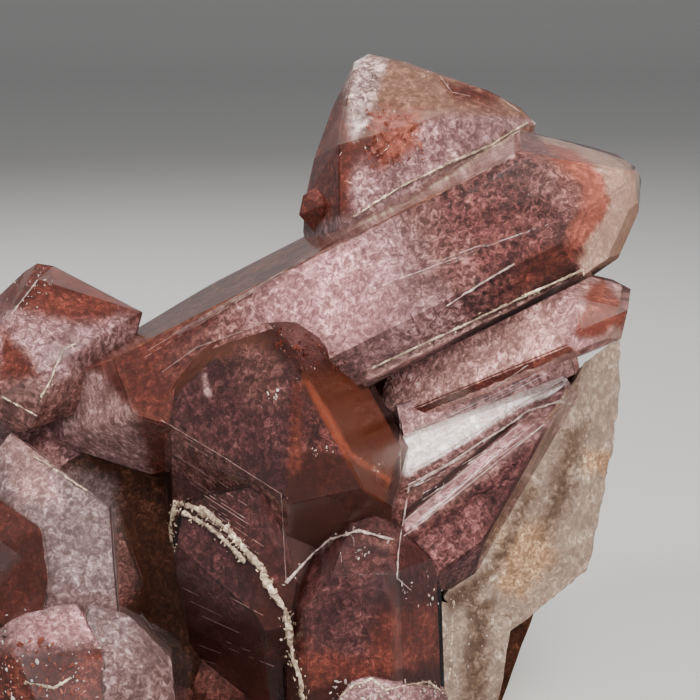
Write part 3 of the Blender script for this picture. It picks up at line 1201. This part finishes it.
def crumb_tree():
    """Puts an angular flake on every point, turned at random."""
    tree, entry = geometry_tree("crumb_flakes", [("Flatness", "Float"), ("Seed", "Int")])
    seed = entry.outputs["Seed"]
    flake = new_node(tree, "GeometryNodeMeshIcoSphere", {"Subdivisions": 1})
    flat = new_node(tree, "ShaderNodeCombineXYZ",
                    {"X": 1.0, "Y": FLAKE_WIDTH, "Z": entry.outputs["Flatness"]})
    squeezed = new_node(tree, "GeometryNodeTransform",
                        {"Geometry": flake.outputs["Mesh"], "Scale": flat.outputs["Vector"]})
    turn = random_vector(tree, {"Max": (math.tau,) * 3, "Seed": seed})
    tilt = new_node(tree, "FunctionNodeEulerToRotation", {"Euler": turn})
    shape = random_vector(tree, {"Min": FLAKE_SMALLEST, "Max": FLAKE_LARGEST,
                                 "Seed": maths(tree, "ADD", seed, 1)})
    sized = new_node(tree, "ShaderNodeVectorMath", {"Vector": shape, "Scale": point_size(tree)},
                     operation="SCALE")
    spread = new_node(tree, "GeometryNodeInstanceOnPoints",
                      {"Points": entry.outputs["Geometry"], "Instance": squeezed.outputs["Geometry"],
                       "Rotation": tilt.outputs["Rotation"], "Scale": sized.outputs["Vector"]})
    return end_tree(tree, entry, spread.outputs["Instances"])


def grown(obj, tree, inputs):
    """Replace an object's mesh by what a tree makes of it."""
    modifier = obj.modifiers.new(tree.name, "NODES")
    modifier.node_group = tree
    for item in tree.interface.items_tree:
        if item.in_out == "INPUT" and item.name in inputs:
            modifier[item.identifier] = inputs[item.name]
    obj.data = baked(obj)
    obj.modifiers.clear()


class QuartzLook(bpy.types.PropertyGroup):
    """Sizes and colours that a user may change; lengths are in millimetres."""

    polish: FloatProperty(name="Polish", description="Roughness of clean crystal faces", default=0.02,
                          subtype="FACTOR")
    frost: FloatProperty(name="Frost", description="Roughness of dull patches", default=0.09,
                         subtype="FACTOR")
    break_roughness: FloatProperty(name="Broken", description="Added roughness where it broke", default=0.14,
                                   subtype="FACTOR")
    phantom_step: FloatProperty(name="Phantom step", description="Mesh size of the phantoms", default=0.8)
    phantom_lift: FloatProperty(name="Phantom lift", description="Height of the grains", default=0.22)
    grain_size: FloatProperty(name="Grain size", description="Width of the grains", default=1.1)
    step_skin: FloatProperty(name="Step skin", description="Clear quartz over the steps", default=0.6)
    edge_round: FloatProperty(name="Edge round", description="Wear of the crystal edges", default=0.14)
    milky_lift: FloatProperty(name="Milky lift", description="Height of the milky lumps", default=0.45)
    seam_width: FloatProperty(name="Seam width", description="Width of all seams, by share", default=1.0)
    floor_colour: FloatVectorProperty(name="Floor", description="Colour of the floor", subtype="COLOR",
                                      size=4, default=(0.76, 0.75, 0.73, 1.0), min=0.0, max=1.0)
    key_power: FloatProperty(name="Key light", description="Power of the main light", default=2.3,
                             unit="POWER")
    seed: IntProperty(name="Seed", description="Seed of everything scattered", default=7)


def look():
    return bpy.context.scene.quartz_look


class QUARTZ_OT_phantoms(bpy.types.Operator):
    """Add the granular mauve and red phantoms inside the crystals"""

    bl_idname = "quartz.phantoms"
    bl_label = "Phantoms"

    def execute(self, context):
        material = granular_material("granular_phantom")
        for name, meshes in build_phantoms().items():
            obj = joined(meshes, name)
            obj.data.transform(TO_FRAME)
            set_piece(obj, material)
        return {"FINISHED"}


class QUARTZ_OT_clear(bpy.types.Operator):
    """Add the clear quartz that makes the crystals' outer faces"""

    bl_idname = "quartz.clear"
    bl_label = "Clear quartz"

    def execute(self, context):
        obj = add_object("clear_quartz", united(clear_bodies(), "clear_quartz"))
        dressed_faces(obj.data)
        bevel = obj.modifiers.new("worn_edges", "BEVEL")
        bevel.width = look().edge_round
        bevel.segments = EDGE_SEGMENTS
        bevel.limit_method = "ANGLE"
        bevel.angle_limit = EDGE_ANGLE
        obj.data = baked(obj)
        obj.modifiers.clear()
        obj.data.transform(TO_FRAME)
        obj.visible_shadow = False
        set_piece(obj, clear_material())
        return {"FINISHED"}


class QUARTZ_OT_milky(bpy.types.Operator):
    """Add the pale milky quartz at the right"""

    bl_idname = "quartz.milky"
    bl_label = "Milky quartz"

    def execute(self, context):
        whole = bmesh.new()
        for name in MILKY:
            part = mesh_from(wrapped_corners(ROUGH[name], ROUGH_DEPTH[name], MILKY_SHRINK), name)
            whole.from_mesh(part)
            bpy.data.meshes.remove(part)
        refined(whole, MILKY_STEP, MILKY_HIDDEN_STEP)
        obj = add_object("milky_quartz", mesh_from(whole, "milky_quartz"))
        unevened(obj.data, milky_lumps)
        paint(obj.data, height_colours(obj.data, MILKY_TONES), AREAS["milky"])
        obj.data.transform(TO_FRAME)
        for vert in obj.data.vertices:
            vert.co.z = max(vert.co.z, 0.0)
        set_piece(obj, granular_material("milky_quartz"))
        return {"FINISHED"}


class QUARTZ_OT_seams(bpy.types.Operator):
    """Add the cream seams and worn pale edges"""

    bl_idname = "quartz.seams"
    bl_label = "Seams"

    def execute(self, context):
        material = granular_material("seam_filling")
        obj = seam_lines(SeenSurface(("clear_quartz", "milky_quartz")))
        grown(obj, seam_tree(), {"Sides": SEAM_SIDES, "Material": material})
        set_piece(obj, material)
        return {"FINISHED"}


class QUARTZ_OT_crumbs(bpy.types.Operator):
    """Add the glinting crumbs and flakes on the broken zones"""

    bl_idname = "quartz.crumbs"
    bl_label = "Crumbs"

    def execute(self, context):
        material = granular_material("crumbs")
        obj = crumb_points(SeenSurface(("clear_quartz", "milky_quartz")))
        grown(obj, crumb_tree(), {"Flatness": FLAKE_FLATNESS, "Seed": look().seed, "Material": material})
        set_piece(obj, material)
        return {"FINISHED"}


class QUARTZ_OT_stage(bpy.types.Operator):
    """Add the pale floor, the soft lights and the camera"""

    bl_idname = "quartz.stage"
    bl_label = "Stage"

    def execute(self, context):
        add_floor()
        add_lights()
        add_camera()
        return {"FINISHED"}


def add_floor():
    """Pale floor that curves up into a backdrop far behind the object."""
    profile = [(FLOOR_FRONT, 0.0), (FLOOR_BACK, 0.0)]
    for index in range(1, FLOOR_BENDS + 1):
        angle = math.radians(90.0 * index / FLOOR_BENDS)
        profile.append((FLOOR_BACK + FLOOR_CURVE * math.sin(angle), FLOOR_CURVE * (1.0 - math.cos(angle))))
    profile.append((profile[-1][0], FLOOR_TOP))
    verts = [(side * FLOOR_WIDTH / 2.0, y, z) for y, z in profile for side in (-1.0, 1.0)]
    faces = [(row, row + 1, row + 3, row + 2) for row in range(0, 2 * len(profile) - 2, 2)]
    mesh = bpy.data.meshes.new("floor")
    mesh.from_pydata(verts, [], faces)
    mesh.shade_smooth()
    floor = add_object("floor", mesh)
    finish = {"Base Color": look().floor_colour, "Roughness": FLOOR_ROUGHNESS}
    mesh.materials.append(new_material("floor", finish))
    floor.visible_glossy = False


def add_lights():
    for name, values in LIGHTS.items():
        lamp = bpy.data.lights.new(name, "AREA")
        lamp.shape = "SQUARE"
        lamp.size = values["size"] * MM
        lamp.energy = look().key_power * values["share"]
        lamp.color = values["colour"]
        obj = bpy.data.objects.new(name, lamp)
        bpy.context.collection.objects.link(obj)
        target = TO_FRAME @ Vector(values["target"])
        away = Vector(values["place"]).normalized() * values["away"]
        obj.location = TO_FRAME @ (Vector(values["target"]) + away)
        obj.rotation_euler = (target - obj.location).to_track_quat("-Z", "Y").to_euler()
        obj.visible_glossy = values["mirrored"]
    world = bpy.data.worlds.new("studio")
    world.use_nodes = True
    sky = world.node_tree.nodes["Background"]
    sky.inputs["Color"].default_value = SKY
    sky.inputs["Strength"].default_value = SKY_STRENGTH
    bpy.context.scene.world = world


def add_camera():
    data = bpy.data.cameras.new("camera")
    data.sensor_width = SENSOR
    data.lens = FOCAL_LENGTH
    data.clip_start = NEAREST_SEEN
    camera = bpy.data.objects.new("camera", data)
    bpy.context.collection.objects.link(camera)
    camera.location = TO_FRAME @ Vector((0.0, 0.0, VIEW_DISTANCE))
    aim = TO_FRAME @ Vector((0.0, 0.0, 0.0)) - camera.location
    camera.rotation_euler = aim.to_track_quat("-Z", "Y").to_euler()
    bpy.context.scene.camera = camera


class QUARTZ_PT_panel(bpy.types.Panel):
    """Lists the sizes and the pieces"""

    bl_label = "Phantom quartz"
    bl_idname = "QUARTZ_PT_panel"
    bl_space_type = "VIEW_3D"
    bl_region_type = "UI"
    bl_category = "Quartz"

    def draw(self, context):
        for name in QuartzLook.__annotations__:
            self.layout.prop(look(), name)
        for operator in OPERATORS:
            self.layout.operator(operator.bl_idname)


OPERATORS = (QUARTZ_OT_phantoms, QUARTZ_OT_clear, QUARTZ_OT_milky, QUARTZ_OT_seams, QUARTZ_OT_crumbs,
             QUARTZ_OT_stage)
CLASSES = (QuartzLook, *OPERATORS, QUARTZ_PT_panel)


def register():
    for item in CLASSES:
        bpy.utils.register_class(item)
    bpy.types.Scene.quartz_look = PointerProperty(type=QuartzLook)


def unregister():
    del bpy.types.Scene.quartz_look
    for item in reversed(CLASSES):
        bpy.utils.unregister_class(item)


def main():
    register()
    bpy.ops.quartz.phantoms()
    bpy.ops.quartz.clear()
    bpy.ops.quartz.milky()
    bpy.ops.quartz.seams()
    bpy.ops.quartz.crumbs()
    bpy.ops.quartz.stage()


if __name__ == "__main__":
    main()
